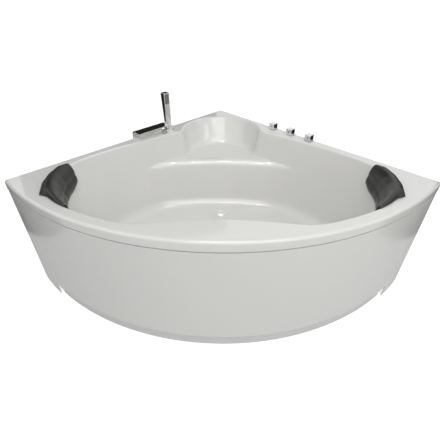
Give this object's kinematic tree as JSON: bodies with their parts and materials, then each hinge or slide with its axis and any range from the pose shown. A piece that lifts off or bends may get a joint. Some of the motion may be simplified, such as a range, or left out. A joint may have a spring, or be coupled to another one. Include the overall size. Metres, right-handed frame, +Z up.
{
  "type": "corner bathtub",
  "caption": "Corner bathtub with a round front, corner seat, headrests, deck taps, waterfall spout and hand shower on a hidden support frame.",
  "frame": {"origin": "middle of the bounding box in plan, on the floor", "axes": "+X to the right for someone looking at the round front, +Y back to the wall corner, +Z up"},
  "size_m": [1.9092, 1.3458, 0.838],
  "materials": {
    "white_acrylic": "smooth glossy white",
    "apron_acrylic": "smooth glossy white",
    "kick_plastic": "satin white",
    "zinc_steel": "zinc plated",
    "black_plastic": "matt black",
    "frame_steel": "galvanised tube",
    "board_wood": "raw chipboard",
    "batten_wood": "sawn softwood",
    "foot_rubber": "matt",
    "seal_rubber": "matt",
    "chrome_waste": "polished",
    "pipe_plastic": "smooth white",
    "chrome_taps": "polished",
    "brass": "raw machined",
    "copper_pipe": "drawn",
    "grey_rubber": "soft grey",
    "dot_enamel": "dark enamel",
    "headrest_foam": "soft dark grey skin"
  },
  "bodies": {
    "tub": {"bath_shell": "white_acrylic", "toe_kick": "kick_plastic", "apron_catches": "black_plastic", "kick_brackets": "zinc_steel", "wall_rail_left": "frame_steel", "wall_rail_right": "frame_steel", "front_rail": "frame_steel", "seat_cross_rail": "frame_steel", "seat_link_rails": "frame_steel", "cross_rail": "frame_steel", "spine_rails": "frame_steel", "front_posts": "frame_steel", "wall_posts": "frame_steel", "seat_posts": "frame_steel", "seat_rail": "frame_steel", "seat_board": "board_wood", "base_board": "board_wood", "wall_battens": "batten_wood", "front_batten": "batten_wood", "foot_pads": "foot_rubber", "foot_screws": "zinc_steel", "wall_brackets": "zinc_steel", "waste_flange": "chrome_waste", "waste_seal": "seal_rubber", "waste_nut": "pipe_plastic", "waste_trap": "pipe_plastic", "overflow_pipe": "pipe_plastic", "overflow_elbow": "pipe_plastic", "overflow_cover": "chrome_waste", "tap_flanges": "chrome_taps", "cold_valve": "brass", "hot_valve": "brass", "diverter_body": "brass", "mixer_pipes": "copper_pipe", "tap_nuts": "brass", "spout_hood": "chrome_taps", "spout_body": "chrome_taps", "spout_shank": "brass", "spout_nut": "brass", "handset_cradle": "chrome_taps", "hose_guide": "pipe_plastic", "guide_nut": "pipe_plastic"},
    "apron": {"apron_panel": "apron_acrylic", "apron_strikers": "zinc_steel"},
    "cold_control": {"cold_knob": "chrome_taps", "cold_dot": "dot_enamel", "cold_spindle": "brass"},
    "diverter_control": {"diverter_knob": "chrome_taps", "diverter_dot": "dot_enamel", "diverter_spindle": "brass"},
    "hot_control": {"hot_knob": "chrome_taps", "hot_dot": "dot_enamel", "hot_spindle": "brass"},
    "hand_shower": {"handset": "chrome_taps", "spray_plate": "grey_rubber"},
    "plug": {"waste_plug": "chrome_waste"},
    "cushion_left": {"headrest_left": "headrest_foam"},
    "cushion_right": {"headrest_right": "headrest_foam"}
  },
  "joints": [
    {"name": "apron_pull", "type": "slide", "parent": "tub", "child": "apron", "axis": [0, -1, 0], "range_m": [0, 0.25]},
    {"name": "cold_turn", "type": "hinge", "parent": "tub", "child": "cold_control", "pos_m": [0.31042, 0.32988, 0.64], "axis": [0, 0, 1], "range_deg": [0, 90]},
    {"name": "diverter_turn", "type": "hinge", "parent": "tub", "child": "diverter_control", "pos_m": [0.39598, 0.24432, 0.64], "axis": [0, 0, 1], "range_deg": [0, 90]},
    {"name": "hot_turn", "type": "hinge", "parent": "tub", "child": "hot_control", "pos_m": [0.48154, 0.15876, 0.64], "axis": [0, 0, 1], "range_deg": [0, 90]},
    {"name": "hand_shower_lift", "type": "slide", "parent": "tub", "child": "hand_shower", "axis": [0, 0, 1], "range_m": [0, 0.3]},
    {"name": "plug_lift", "type": "slide", "parent": "tub", "child": "plug", "axis": [0, 0, 1], "range_m": [0, 0.008]},
    {"name": "cushion_left_lift", "type": "slide", "parent": "tub", "child": "cushion_left", "axis": [0, 0, 1], "range_m": [0, 0.15]},
    {"name": "cushion_right_lift", "type": "slide", "parent": "tub", "child": "cushion_right", "axis": [0, 0, 1], "range_m": [0, 0.15]}
  ]
}
